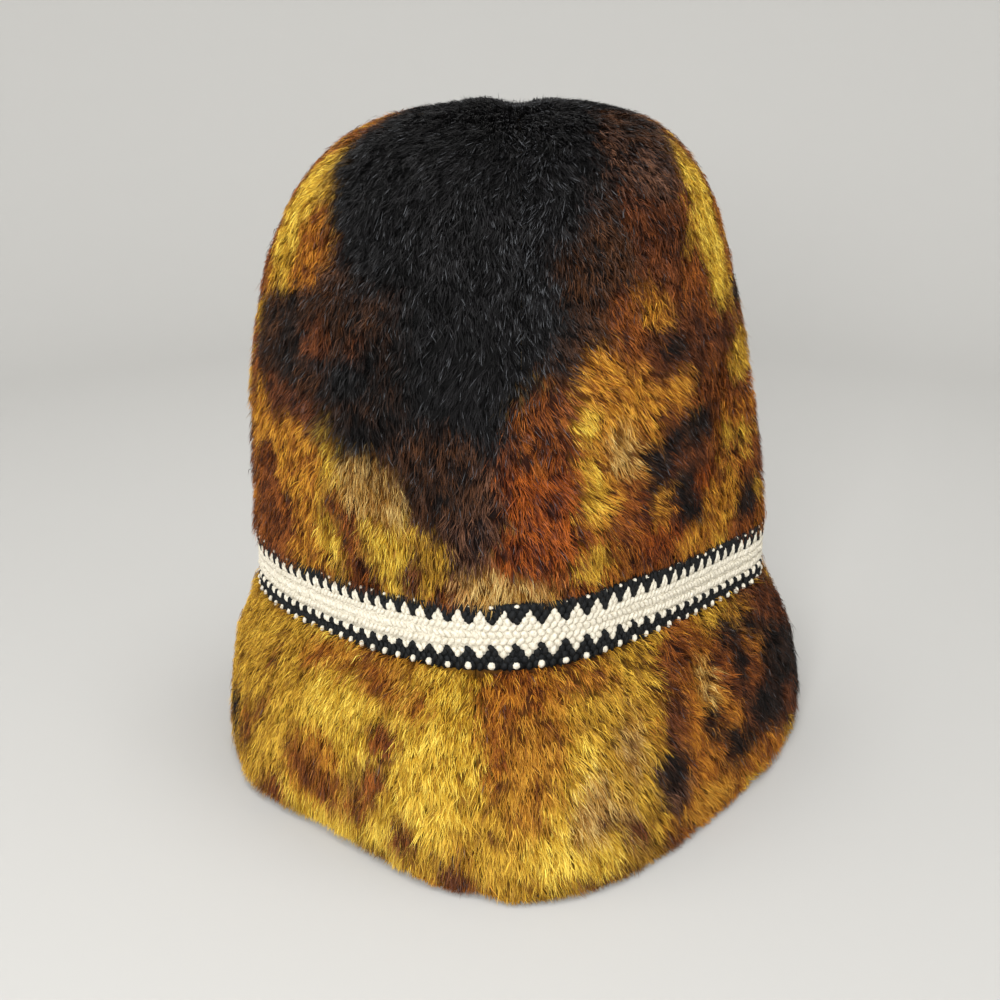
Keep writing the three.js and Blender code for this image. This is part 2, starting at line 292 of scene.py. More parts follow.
brimPatches = (
    ("straw", -36, 40, 52, 40), ("gold", -62, 34, 22, 34), ("orange", 46, 34, 22, 40),
    ("brown", 80, 40, 38, 32), ("gold", 14, 30, 26, 34), ("amber", 12, 56, 24, 14),
    ("amber", -38, 64, 26, 5, -10), ("orange", -50, 61, 8, 4, -15), ("orange", -30, 60, 10, 4, 15),
    ("orange", -19, 59, 4, 4), ("rust", -26, 44, 8, 8, 10), ("honey", -43, 25, 14, 11, 25),
    ("rust", -47, 27, 7, 4, 25), ("rust", -40, 21, 8, 4, 30), ("rust", -30, 30, 7, 6, -20),
    ("rust", -21, 17, 6, 7), ("brown", -54, 6, 9, 4, 10), ("rust", -28, 32, 5, 3, -20),
    ("rust", -32, 20, 4, 5), ("brown", -21, 15, 3, 5), ("brown", -28, 5, 7, 3),
    ("rust", -54, 11, 6, 6), ("rust", -68, 26, 4, 6), ("coal", -76, 21, 6, 7),
    ("rust", -62, 36, 2.5, 6, 15), ("rust", -66, 50, 3, 4), ("straw", 10, 18, 16, 20),
    ("amber", 3, 40, 6, 16), ("orange", 0, 62, 12, 8), ("orange", 14, 64, 8, 4),
    ("orange", -3, 48, 4, 10), ("straw", 13, 42, 5, 9, 20), ("tan", 13, 32, 7, 12, 15),
    ("gold", 18, 54, 12, 8, 20), ("gold", 29, 59, 8, 7), ("rust", 41, 61, 8, 7),
    ("brown", 36, 45, 5, 12), ("tan", 23, 44, 4, 9), ("tan", 19, 22, 4, 8),
    ("brown", 22, 47, 3, 2), ("brown", 16, 26, 2.5, 3), ("plum", 32, 28, 9, 10, -35),
    ("coal", 33, 30, 5, 6, -35), ("brown", 21, 17, 4, 8, -20), ("amber", 50, 47, 9, 12),
    ("tan", 50, 50, 4, 7), ("rust", 60, 52, 10, 9), ("amber", 74, 62, 9, 4),
    ("orange", 76, 50, 6, 8), ("coal", 68, 58, 7, 5), ("coal", 82, 40, 16, 10, -20),
    ("coal", 66, 46, 6, 6), ("coal", 78, 54, 8, 5), ("coal", 49, 35, 5, 6),
    ("coal", 56, 24, 9, 6), ("coal", 72, 23, 13, 6), ("coal", 69, 32, 9, 6),
    ("rust", 69, 39, 5, 4), ("orange", 59, 33, 4, 4), ("coal", 92, 28, 12, 17),
    ("brown", 86, 58, 10, 8), ("amber", 44, 12, 16, 7), ("orange", 60, 14, 10, 6),
    ("orange", 70, 8, 14, 6), ("brown", -10, 7, 7, 7), ("brown", 14, 3, 18, 3),
    ("brown", 30, 8, 8, 4),
    # The sides and the back, which the photo doesn't show
    ("rust", 108, 42, 18, 30), ("coal", 112, 20, 10, 9), ("gold", 128, 36, 22, 34),
    ("brown", 136, 26, 8, 10), ("brown", 148, 56, 14, 8), ("straw", 160, 34, 16, 26),
    ("coal", 170, 16, 8, 6), ("rust", 184, 56, 18, 10), ("brown", 194, 28, 12, 12),
    ("coal", 204, 46, 8, 8), ("straw", 216, 30, 16, 22), ("brown", 230, 22, 8, 10),
    ("rust", 238, 58, 20, 9), ("coal", 246, 36, 7, 7), ("brown", 258, 14, 9, 7),
    ("gold", 274, 46, 18, 20),
)


def patchCentre(skin, direction, height):
    # The point of a skin at this height, in this direction
    alongs = np.linspace(0, 1, 200)
    ladder = skin(np.full(200, math.radians(direction)), alongs)
    return ladder[np.argmin(np.abs(ladder[:, 2] - height))]


def furColourAt(points, form):
    # Linear dark, middle and light colours of the hairs at these points, nine columns
    palette = {name: np.ravel([toLinear(c) for c in colours]) for name, colours in furColours.items()}
    seed, behind = patchForm["seed"], patchForm["wilder"]
    (coarseSize, coarseReach), (fineSize, fineReach) = patchForm["coarse"], patchForm["fine"]
    coarse = axisNoise(points, coarseSize, seed)
    fine = axisNoise(points, fineSize, seed + 10)
    wilder = (1 + behind["more"] * smoothStep(behind["from"], behind["to"], points[:, 1]))[:, None]
    places = points + coarseReach * wilder * coarse + fineReach * wilder * fine
    patched = np.tile(palette[form["base"]], (len(points), 1))
    for order, (colour, size, low, high) in enumerate(patchForm["mottles"]):
        noise = softNoise(points + patchForm["mottleWander"] * fine, size, seed + 20 + order)
        patched += (palette[colour] - patched) * smoothStep(low, high, noise)[:, None]
    for colour, direction, height, halfWidth, halfHeight, *turn in form["patches"]:
        centre = patchCentre(form["skin"], direction, height)
        angle = math.radians(direction)
        away = places - centre
        side = away[:, 0] * math.cos(angle) + away[:, 1] * math.sin(angle)
        out = away[:, 0] * math.sin(angle) - away[:, 1] * math.cos(angle)
        lean = math.radians(sum(turn))
        across = side * math.cos(lean) - away[:, 2] * math.sin(lean)
        upward = side * math.sin(lean) + away[:, 2] * math.cos(lean)
        depth = patchForm["depth"] * max(halfWidth, halfHeight)
        distance = np.sqrt((across / halfWidth) ** 2 + (upward / halfHeight) ** 2 + (out / depth) ** 2)
        edge = patchForm["blackEdge" if colour == "black" else "edge"] / min(halfWidth, halfHeight)
        share = 1 - smoothStep(1 - edge / 2, 1 + edge, distance)
        patched += (palette[colour] - patched) * share[:, None]
    return patched


def readRamp(colours, tone):
    # From a patch's dark hairs (0) by its middle ones (0.5) to its light ones (1)
    dark, middle, light = colours[:, :3], colours[:, 3:6], colours[:, 6:]
    tone = np.clip(tone, 0, 1)[:, None]
    return dark + (middle - dark) * np.minimum(2 * tone, 1) + (light - middle) * np.maximum(2 * tone - 1, 0)


# Fur: hairs as thin bent slips, widest at the bend, grown in small tufts

hairForm = {
    "width": 0.28, "tuftRadius": 0.65, "perTuft": 6,
    "rootDepth": 3,  # the roots lie this far below the skin
    "ruffle": ((11, 1), (5, 0.5)),  # noises that make lengths and lifts uneven
    "bend": {"at": 0.45, "past": 0.55, "steeper": 24},  # shares of a length, degrees below the bend
    "drawnIn": (0.15, 0.3),  # how far hairs draw together by the bend, and past it
    "standOut": ((0, 0.3, 0.45, 1), (0.4, 0.3, -0.6, -0.7)),  # how far most tips may, along the skin
    "pressedIn": 0.85,  # the share of what stands out further that is pressed in
    # How far the crown's fur hangs over the braid's edge, by the direction from the front
    "overBraid": (
        (-180, -90, -60, -25, -10, -3, 6, 14, 30, 52, 70, 100, 180),
        (2, 2.4, 2.6, 1.9, 2, 2.6, 1.8, 0.5, 0.1, 0.5, 2, 2.4, 2),
    ),
    # The brim's fur goes on behind the braid by this share of the brim, but not near the front
    "underBraid": {"share": 0.03, "front": 35},
    "glints": 0.035,  # the share of dark hairs whose tips are painted pale grey as glints: painted highlights
    "glintColour": "#6c6e72",
    "seamGlints": {"more": 3, "aside": 4, "spread": 9},  # more of these painted glint highlights by a seam
    "darkBelow": 0.03,  # a colour counts as dark below this light
}
hairTone = {  # a hair's place from a patch's dark hairs (0) to its light ones (1)
    "middle": 0.46, "tufts": 0.12, "hairs": 0.2,
    "lumps": (7, 0.15), "streaks": (1.8, 0.32),  # size and amount
    "flecks": {"size": 3, "amount": 0.4, "noise": (0.35, 0.7), "flatter": 0.6},
    "ends": 0.3,  # roots are darker and tips lighter by this: partly the fur's own tones, partly painted shade deep in the pile and painted highlight on the tips
    # roots are darkened further by this factor: painted shade deep in the pile, over the undercoat's own
    # darker tone
    "rootLight": 0.4,
}
leanForm = {  # sizes and amounts of noises, and how far hairs lean aside
    "crownSwirl": ((24, 0.4), (7, 0.5)),
    "crownAside": 0.6,
    "brimSwirl": (26, 0.1),
    "curls": {"size": 5.5, "least": 0.14, "right": 0.75, "left": 0.35},
    "brimParting": -7,  # the direction from the front where the brim's fur parts
    "brimAside": 0.3,
}


def leanOnCrown(points, angle, along, seed):
    # Which way hairs lie on the crown: how far to the side, how far down the cloth
    swirl = layeredNoise(points, leanForm["crownSwirl"], seed)
    turned, height = fromFront(angle), points[:, 2]
    rightFront = smoothStep(5, 18, turned) * (1 - smoothStep(45, 70, turned))
    rightFront = rightFront * smoothStep(100, 115, height) * (1 - smoothStep(165, 190, height))
    aside = leanForm["crownAside"] * rightFront
    return swirl + aside, 1 + 0.35 * softNoise(points, 8, seed + 2)


def leanOnBrim(points, angle, along, seed):
    # The brim's fur curls at the sides and parts at the front seam
    turned, curls = fromFront(angle), leanForm["curls"]
    curly = curls["least"] + curls["right"] * smoothStep(26, 52, turned)
    curly = curly + curls["left"] * smoothStep(48, 80, -turned)
    swirl = layeredNoise(points, (leanForm["brimSwirl"], (curls["size"], curly)), seed)
    parting, most = leanForm["brimParting"], leanForm["brimAside"]
    left = (1 - smoothStep(parting - 1, parting, turned)) * smoothStep(-80, -35, turned)
    right = smoothStep(parting, parting + 1, turned) * (1 - smoothStep(45, 80, turned))
    left = left * (most * smoothStep(0.6, 1, along) - 0.05)
    aside = right * (0.04 + most * smoothStep(0, 18, turned)) - left
    down = 1 - 0.6 * (curly - curls["least"]) * np.abs(softNoise(points, 6, seed + 2))
    return swirl + aside, down


def shorten(root, middle, tip, drop, least):
    # Hairs that reach further down from their root than this drop are cut
    share = np.clip(drop / np.maximum(root[:, 2] - tip[:, 2], 0.1), least, 1)[:, None]
    return root + (middle - root) * share, root + (tip - root) * share


def growFur(name, node, form, alongs, hairs, seed):
    rng = np.random.default_rng(seed)
    skin, seam = form["skin"], form["seam"]
    tufts = hairs // hairForm["perTuft"]
    # Tufts are strewn evenly over the area: a cell of a grid is picked by its size
    columns, rows = 260, 120
    gridAngles = np.radians(np.linspace(-180, 180, columns + 1))
    gridAlongs = np.linspace(*alongs, rows + 1)
    grid = skin(*np.meshgrid(gridAngles, gridAlongs, indexing="ij"))
    area = np.linalg.norm(np.cross(grid[1:, :-1] - grid[:-1, :-1], grid[:-1, 1:] - grid[:-1, :-1]), axis=-1)
    middles = (grid[1:, :-1] + grid[:-1, 1:]) / 2
    area = (area * (sideOf(node) * (middles[..., 0] - seam) > 0)).ravel()
    cell = rng.choice(len(area), size=tufts, p=area / area.sum())
    column, row = np.divmod(cell, rows)
    angle = gridAngles[column] + rng.random(tufts) * (gridAngles[1] - gridAngles[0])
    along = gridAlongs[row] + rng.random(tufts) * (gridAlongs[1] - gridAlongs[0])
    if node.startswith("brim"):
        under = hairForm["underBraid"]
        atSides = 1 - np.exp(-((fromFront(angle) / under["front"]) ** 2))
        along = along * (1 + under["share"] * atSides)
    points, sideways, up, normal = skinFrame(skin, angle, along)
    sink = sunkAtSeam(points, seam)
    aside, down = form["lean"](points, angle, along, seed + 50)
    aside = aside + rng.normal(0, 0.2, tufts)
    lie = unit(sideways * aside[:, None] - up * down[:, None])
    share = np.clip(along, 0, 1)
    ruffle = layeredNoise(points, hairForm["ruffle"], seed + 40)
    tuftLength = np.interp(share, *form["lengths"]) * (1 + rng.normal(0, 0.12, tufts) + 0.15 * ruffle)
    tuftLift = np.interp(share, *form["lifts"]) * (1 + rng.normal(0, 0.3, tufts) + 0.35 * ruffle)
    tuftTone = rng.normal(0, hairTone["tufts"], tufts)

    # Each tuft's hairs start round its middle and draw together towards their tips
    hairs = tufts * hairForm["perTuft"]
    own = np.repeat(np.arange(tufts), hairForm["perTuft"])
    spread = rng.normal(0, hairForm["tuftRadius"], (hairs, 2))
    offset = sideways[own] * spread[:, :1] + up[own] * spread[:, 1:]
    root = points[own] + offset + normal[own] * (sink[own] - hairForm["rootDepth"])[:, None]
    length = tuftLength[own] * (1 + rng.normal(0, 0.14, hairs))
    lift = np.clip(tuftLift[own] + rng.normal(0, 8, hairs), 3, 88)
    bend, drawnIn = hairForm["bend"], hairForm["drawnIn"]
    steep, shallow = np.radians(np.clip(lift + bend["steeper"], 0, 89)), np.radians(lift)
    stray = sideways[own] * rng.normal(0, 0.16, hairs)[:, None]
    first = lie[own] * np.cos(steep)[:, None] + normal[own] * np.sin(steep)[:, None] + stray
    second = lie[own] * np.cos(shallow)[:, None] + normal[own] * np.sin(shallow)[:, None] + stray
    middle = root + first * (bend["at"] * length)[:, None] - offset * drawnIn[0]
    tip = middle + second * (bend["past"] * length)[:, None] - offset * drawnIn[1]
    out = ((tip - points[own]) * normal[own]).sum(1) - sink[own]
    ragged = ruffle * np.where(share < 0.2, 1.1, 0.4)
    allowed = (np.interp(share, *hairForm["standOut"]) + ragged)[own] + rng.exponential(0.4, hairs)
    tip -= normal[own] * (hairForm["pressedIn"] * np.maximum(out - allowed, 0))[:, None]
    if node.startswith("crown"):  # hairs that would hide the braid are shorter
        edge = braidLine(angle[own]) + braidForm["height"] / 2
        edge -= np.interp(fromFront(angle[own]), *hairForm["overBraid"]) * 2 * rng.random(hairs)
        middle, tip = shorten(root, middle, tip, root[:, 2] - edge, 0.12)
    root[:, 2] = np.maximum(root[:, 2], 0.5)
    middle, tip = shorten(root, middle, tip, root[:, 2] + 1, 0.35)
    for part, reach in ((middle, 0.5), (tip, 1)):  # hairs that meet the floor spread out on it
        below = np.maximum(0.3 + rng.random(hairs) * reach - part[:, 2], 0)
        part[:, 2] += below
        part += normal[own] * np.array([1, 1, 0]) * (0.2 * below)[:, None]

    roll = rng.normal(0, 0.5, hairs)[:, None]
    across = unit(np.cross(second, normal[own]) + normal[own] * roll)
    half = (hairForm["width"] / 2) * (1 + rng.normal(0, 0.15, hairs))[:, None]
    corners = np.stack([root, middle - across * half, middle + across * half, tip], 1)
    jitter = rng.normal(0, 1.2, (tufts, 3))[own] + rng.normal(0, 0.8, (hairs, 3))
    colours = furColourAt(points[own] + offset + jitter, form)
    streaked = (points[own] + offset) * np.array([1, 1, form["streakiness"]])
    lumps = layeredNoise(points[own], [hairTone["lumps"]], seed + 60)
    streaks = layeredNoise(streaked, [hairTone["streaks"]], seed + 61)
    flecks = hairTone["flecks"]
    fleckNoise = softNoise(points[own] * np.array([1, 1, flecks["flatter"]]), flecks["size"], seed + 62)
    tone = hairTone["middle"] + tuftTone[own] + rng.normal(0, hairTone["hairs"], hairs)
    tone += lumps + streaks
    tone -= flecks["amount"] * smoothStep(*flecks["noise"], fleckNoise)
    body = readRamp(colours, tone)
    # Painted shade and highlight: a hair's root is darker and its tip lighter than its body, over the fur's
    # own tones
    rootToneAndShade = hairTone["rootLight"] * readRamp(colours, tone - hairTone["ends"])
    tipToneAndHighlight = readRamp(colours, tone + hairTone["ends"])
    # Painted highlight: some dark hairs get pale grey tips as glints, more of them near the seam
    bySeam = hairForm["seamGlints"]
    nearness = np.exp(-(((root[:, 0] - seam - bySeam["aside"]) / bySeam["spread"]) ** 2))
    share = hairForm["glints"] * (1 + bySeam["more"] * nearness)
    glint = (rng.random(hairs) < share) & (body.mean(1) < hairForm["darkBelow"])
    tipToneAndHighlight[glint] = toLinear(hairForm["glintColour"])
    tints = np.stack([rootToneAndShade, body, body, tipToneAndHighlight], 1)
    return makeSlips(name, corners.reshape(-1, 3), np.clip(tints.reshape(-1, 3), 0, 1))


def makeSlips(name, points, tints):
    # One mesh of hairs, each two triangles on a root, two points at the bend and a tip
    hairs = len(points) // 4
    firsts = np.arange(hairs)[:, None] * 4
    corners = (firsts + np.array([0, 2, 1, 1, 2, 3])).ravel()
    mesh = bpy.data.meshes.new(name)
    mesh.vertices.add(len(points))
    mesh.vertices.foreach_set("co", (points * mm).astype(np.float32).ravel())
    mesh.loops.add(len(corners))
    mesh.loops.foreach_set("vertex_index", corners.astype(np.int32))
    mesh.polygons.add(2 * hairs)
    mesh.polygons.foreach_set("loop_start", np.arange(0, 6 * hairs, 3, dtype=np.int32))
    mesh.update(calc_edges=True)
    mesh.validate()
    paintPoints(mesh, tints)
    # The map lays each point by its colour, so that a bake keeps every hair's own colour
    shown = np.sqrt(tints)
    light = shown.mean(1)
    warmth = shown[:, 0] - shown[:, 2]
    edge = np.tile([0, -0.002, 0.002, 0], hairs)
    flat = np.stack([0.05 + 0.9 * light + edge, 0.05 + 0.9 * np.clip(warmth, 0, 1) - edge], -1)
    layMap(mesh, flat)
    return bpy.data.objects.new(name, mesh)


def paintPoints(mesh, tints):
    attribute = mesh.color_attributes.new("furColour", "FLOAT_COLOR", "POINT")
    painted = np.ones((len(tints), 4), np.float32)
    painted[:, :3] = tints
    attribute.data.foreach_set("color", painted.ravel())


def layMap(mesh, places):
    layer = mesh.uv_layers.new(name="OFBake")
    owners = np.empty(len(mesh.loops), np.int32)
    mesh.loops.foreach_get("vertex_index", owners)
    layer.uv.foreach_set("vector", places[owners].astype(np.float32).ravel())


def pointsOf(mesh):
    found = np.empty(len(mesh.vertices) * 3, np.float32)
    mesh.vertices.foreach_get("co", found)
    return found.reshape(-1, 3) / mm


def meshFrom(bm, name):
    mesh = bpy.data.meshes.new(name)
    bm.to_mesh(mesh)
    bm.free()
    return mesh


def pointsAndFaces(bm):
    mesh = meshFrom(bm, "passing")
    points, faces = pointsOf(mesh), [tuple(face.vertices) for face in mesh.polygons]
    bpy.data.meshes.remove(mesh)
    return points, faces


def place(piece, nodes, slotName, *materials):
    bpy.context.scene.collection.objects.link(piece)
    for material in materials:
        piece.data.materials.append(material)
    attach(piece, "root")
    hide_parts(*nodes)


# Materials

def pileInputs(tree):
    # Dyed plush: short hairs with a soft shine; the colours they read are darker towards the cloth and
    # lighter at the tips, partly the fur's own tones and partly painted shade and highlight
    tint = addNode(tree, "Attribute", "Color", attribute_name="furColour")
    return {"Base Color": tint, "Roughness": 0.5, "Specular IOR Level": 0.15}


def underpileInputs(tree):
    # The dense pile between the hairs' roots, which only shows as dark gaps; its grain both bumps it and
    # colours it, darker in the hollows and lighter on the rises: partly uneven tone, partly painted shade
    # and highlight
    tint = addNode(tree, "Attribute", "Color", attribute_name="furColour")
    where = addNode(tree, "TexCoord", "Object")
    tuft = 1.6 * mm
    grain = addNode(tree, "TexNoise", "Fac", {"Vector": where, "Scale": 1 / tuft, "Detail": 3.0})
    span = {"Value": grain, "From Min": 0.3, "From Max": 0.7, "To Min": 0.55, "To Max": 1.1}
    darker = addNode(tree, "MapRange", "Result", span)
    mixed = addNode(tree, "VectorMath", "Vector", {0: tint, 1: darker}, operation="MULTIPLY")
    bump = addNode(tree, "Bump", "Normal", {"Height": grain, "Strength": 0.8, "Distance": 1.2 * mm})
    return {"Base Color": mixed, "Normal": bump, "Roughness": 0.85, "Specular IOR Level": 0.2}


def backingInputs(tree):
    # The back of the plush: a plain cotton weave, sized with a little glue
    where = addNode(tree, "TexCoord", "Object")
    threads = 2 * math.pi / (1.4 * mm)  # threads 1.4 mm apart, coarser than real ones, so that they show
    waves = {"Vector": where, "Scale": threads / 20, "Distortion": 1.5, "Detail": 1.0}
    warp = addNode(tree, "TexWave", "Fac", waves, bands_direction="X")
    weft = addNode(tree, "TexWave", "Fac", waves, bands_direction="Z")
    weave = addNode(tree, "Math", "Value", {0: warp, 1: weft}, operation="MULTIPLY")
    stainSize = 30 * mm
    stain = addNode(tree, "TexNoise", "Fac", {"Vector": where, "Scale": 1 / stainSize})
    tint = addNode(tree, "ValToRGB", "Color", {"Fac": stain}, ("#8d7a5c", "#b5a483"))
    bump = addNode(tree, "Bump", "Normal", {"Height": weave, "Strength": 0.5, "Distance": 0.4 * mm})
    return {"Base Color": tint, "Normal": bump, "Roughness": 0.9}


def yarnInputs(tree, colours, gloss):
    # Worsted yarn: matt; the noise that bumps its plies also colours them, darker in the hollows and lighter
    # on the rises: partly the yarn's own uneven tone, partly painted shade and highlight of the twist
    where = addNode(tree, "TexCoord", "Object")
    ply = 0.9 * mm
    plies = addNode(tree, "TexNoise", "Fac", {"Vector": where, "Scale": 1 / ply, "Detail": 4.0})
    shade = addNode(tree, "MapRange", "Result", {"Value": plies, "From Min": 0.35, "From Max": 0.65})
    tint = addNode(tree, "ValToRGB", "Color", {"Fac": shade}, colours)
    bump = addNode(tree, "Bump", "Normal", {"Height": plies, "Strength": 0.6, "Distance": 0.35 * mm})
    return {"Base Color": tint, "Normal": bump, "Roughness": 0.7, "Specular IOR Level": gloss}


# Cloth walls: the underpile outside, the woven back inside

wallForm = {
    "columns": 180, "insideRows": 20,
    "underpile": 3,  # its surface lies this far below the skin
    "inset": 0.3,  # under the braid, the cloth lies this far inside the foot
    "join": 0.2,  # from the braid's line to each wall's end
    "overlap": 0.1,
    "crownBehind": 0.12,  # share of the rows behind the braid, and for the brim below it
    "brimOver": 0.86, "brimUnder": 0.85, "crownBlend": 0.08,
    "rimBelow": 30,  # an open edge below this height is the rim's
    "halfGap": 0.15,  # from a seam to each half
    # the underpile's colour: the fur's dark tones, dimmed as painted shade deep in the pile
    "underpileToneAndShade": {"middle": 0.15, "dark": 0.6},
}


def wallGrid(bm, columns, rows, pointAt):
    # A grid rolled into a ring: pointAt gives the points for angles and places from 0 to 1
    made = bmesh.ops.create_grid(bm, x_segments=columns, y_segments=rows, size=1)["verts"]
    flat = np.array([vertex.co[:2] for vertex in made])
    angle, share = np.pi * (flat[:, 0] + 1), (flat[:, 1] + 1) / 2
    for vertex, point in zip(made, pointAt(angle, share)):
        vertex.co = Vector(point) * mm
    bmesh.ops.remove_doubles(bm, verts=made, dist=0.01 * mm)
    return [vertex for vertex in made if vertex.is_valid]


def crownOutside(angle, share):
    # From the join under the braid, past the braid's top edge and up the underpile
    behind = wallForm["crownBehind"]
    along = np.clip((share - behind) / (1 - behind), 0, 1)
    points, _, _, normal = skinFrame(crownSkin, angle, along)
    normal[along > 0.999] = (0, 0, 1)  # one point closes the top
    pile = points + normal * (sunkAtSeam(points, hatForm["crownSeam"]) - wallForm["underpile"])[:, None]
    rise = (braidForm["height"] / 2 + wallForm["overlap"]) * np.clip(share / behind * 1.6, 0, 1)
    low = footPoint(angle, -wallForm["inset"], braidLine(angle) + wallForm["join"] + rise)
    return np.where((share < behind * 0.8)[:, None], low, pile)


def crownInside(angle, share):
    points, _, _, normal = skinFrame(crownSkin, angle, share)
    normal[share > 0.999] = (0, 0, 1)
    deep = points - normal * (hatForm["pile"] + hatForm["cloth"])
    foot = footPoint(angle, -wallForm["inset"] - hatForm["cloth"], braidLine(angle) + wallForm["join"])
    blend = smoothStep(0, wallForm["crownBlend"], share)[:, None]
    return foot * (1 - blend) + deep * blend


def brimOutside(angle, share):
    # From the rim up the underpile, and on behind the braid to the join
    over = wallForm["brimOver"]
    along = np.clip(share / over, 0, 1)
    points, _, _, normal = skinFrame(brimSkin, angle, along)
    pile = points + normal * (sunkAtSeam(points, hatForm["brimSeam"]) - wallForm["underpile"])[:, None]
    pile[:, 2] = np.maximum(pile[:, 2], 0)
    rise = braidForm["height"] / 2 - wallForm["overlap"]
    rise = rise * np.clip((share - over) / (1 - over) * 1.5 - 0.5, 0, 1)
    start = braidLine(angle) - braidForm["height"] / 2 - wallForm["inset"]
    high = footPoint(angle, -wallForm["inset"], start + rise)
    return np.where((share > over)[:, None], high, pile)


def brimInside(angle, share):
    under = wallForm["brimUnder"]
    along = np.clip(share / under, 0, 1)
    points, _, _, normal = skinFrame(brimSkin, angle, along)
    deep = points - normal * (hatForm["pile"] + hatForm["cloth"])
    deep[:, 2] = np.where(share < 0.01, 0, np.maximum(deep[:, 2], 0))
    rise = np.clip((share - under) / (1 - under), 0, 1)[:, None]
    foot = footPoint(angle, -wallForm["inset"] - hatForm["cloth"], braidLine(angle) - wallForm["join"])
    return deep + (foot - deep) * rise


def makeWall(name, node, form):
    bm = bmesh.new()
    wallGrid(bm, wallForm["columns"], form["rows"], form["outside"])
    inner = wallGrid(bm, wallForm["columns"], wallForm["insideRows"], form["inside"])
    innerFaces = {face for vertex in inner for face in vertex.link_faces}
    for face in innerFaces:
        face.material_index = 1
    bmesh.ops.reverse_faces(bm, faces=list(innerFaces))
    edges = [edge for edge in bm.edges if edge.is_boundary]
    for above in (True, False):  # the join by the braid, and the rim of a brim
        ring = [edge for edge in edges if (edge.verts[0].co.z > wallForm["rimBelow"] * mm) == above]
        if ring:
            bmesh.ops.bridge_loops(bm, edges=ring)
    side = sideOf(node)
    cut = bmesh.ops.bisect_plane(
        bm,
        geom=bm.verts[:] + bm.edges[:] + bm.faces[:],
        plane_co=((form["seam"] + side * wallForm["halfGap"]) * mm, 0, 0),
        plane_no=(-side, 0, 0),
        clear_outer=True,
    )
    loop = [item for item in cut["geom_cut"] if isinstance(item, bmesh.types.BMEdge)]
    bmesh.ops.contextual_create(bm, geom=loop)
    bmesh.ops.recalc_face_normals(bm, faces=bm.faces[:])
    mesh = meshFrom(bm, name)
    mesh.shade_smooth()
    colours = furColourAt(pointsOf(mesh), form)
    # Painted shade: the underpile takes the fur's dark tones, dimmed for the depth of the pile
    tint = wallForm["underpileToneAndShade"]
    paintPoints(mesh, np.clip(colours[:, 3:6] * tint["middle"] + colours[:, :3] * tint["dark"], 0, 1))
    return bpy.data.objects.new(name, mesh)


# Braid: rows of slanted stitches on a knitted band, cream in the middle between black edges

stitchForm = {
    "perTooth": 3, "rows": 10, "length": 3.6,
    "width": 0.98,  # of the way from a stitch to the next
    "depth": 1.7,
    "slant": 40,
    "slantWithin": 4.7,  # this far from the braid's line
    "edgeSlant": 8,
    "uneven": {"turn": 5, "size": 0.06, "place": 0.12},
    "lift": 0.1,
    "band": 3.3,  # thickness of the band that the stitches lie on
    "bandGap": 0.1,  # it starts this far outside the cloth
    "colourGap": 0.4,
    "lowTeeth": {"least": 0.7, "stretched": 0.3},  # at the sides the lower teeth are shorter
    "tip": {"least": 0.15, "stretched": 0.35},  # how far a tooth reaches, as a share of its length
    "dip": -0.3,
}
stitchChart = (  # for each row from the bottom, which of a tooth's three stitches are cream
    (0, 0, 0), (0, 0, 0), (0, 0, 1), (0, 1, 1), (1, 1, 1),
    (1, 1, 1), (1, 1, 1), (0, 1, 1), (0, 0, 1), (0, 0, 0),
)
# Heights of the rows over the braid's line where the knitting isn't stretched, with a wider cream middle
sideRows = (-10.35, -8.5, -5.9, -5.5, -2.4, 1, 4.2, 7, 8.2, 10.35)
picotForm = {  # small cream loops along both outer edges, one for each tooth
    "at": 0.5, "slant": 12,
    "lower": {"inset": 1.5, "size": (1.05, 2.8, 2.4), "stands": 0.7},
    "upper": {"inset": 0.4, "size": (0.75, 1.5, 1.6), "stands": 0.1},
}


def stretchAt(angle):
    # How far the knitting is stretched in these directions, from 0 to 1
    stretched = braidForm["stretched"]
    away = (np.degrees(angle) - stretched["at"] + 180) % 360 - 180
    return np.exp(-((away / stretched["spread"]) ** 2))


def knitAngles(count):
    # Angles that divide the way round the foot as the knitting does, equally but for the stretch
    fine = np.linspace(0, 2 * np.pi, 20 * count + 1)
    steps = np.linalg.norm(np.diff(footPoint(fine, 0, 0.0), axis=0), axis=1)
    steps /= 1 + braidForm["stretched"]["more"] * stretchAt(fine[1:])
    walked = np.concatenate([[0], np.cumsum(steps)])
    return np.interp(np.arange(count) / count * walked[-1], walked, fine)


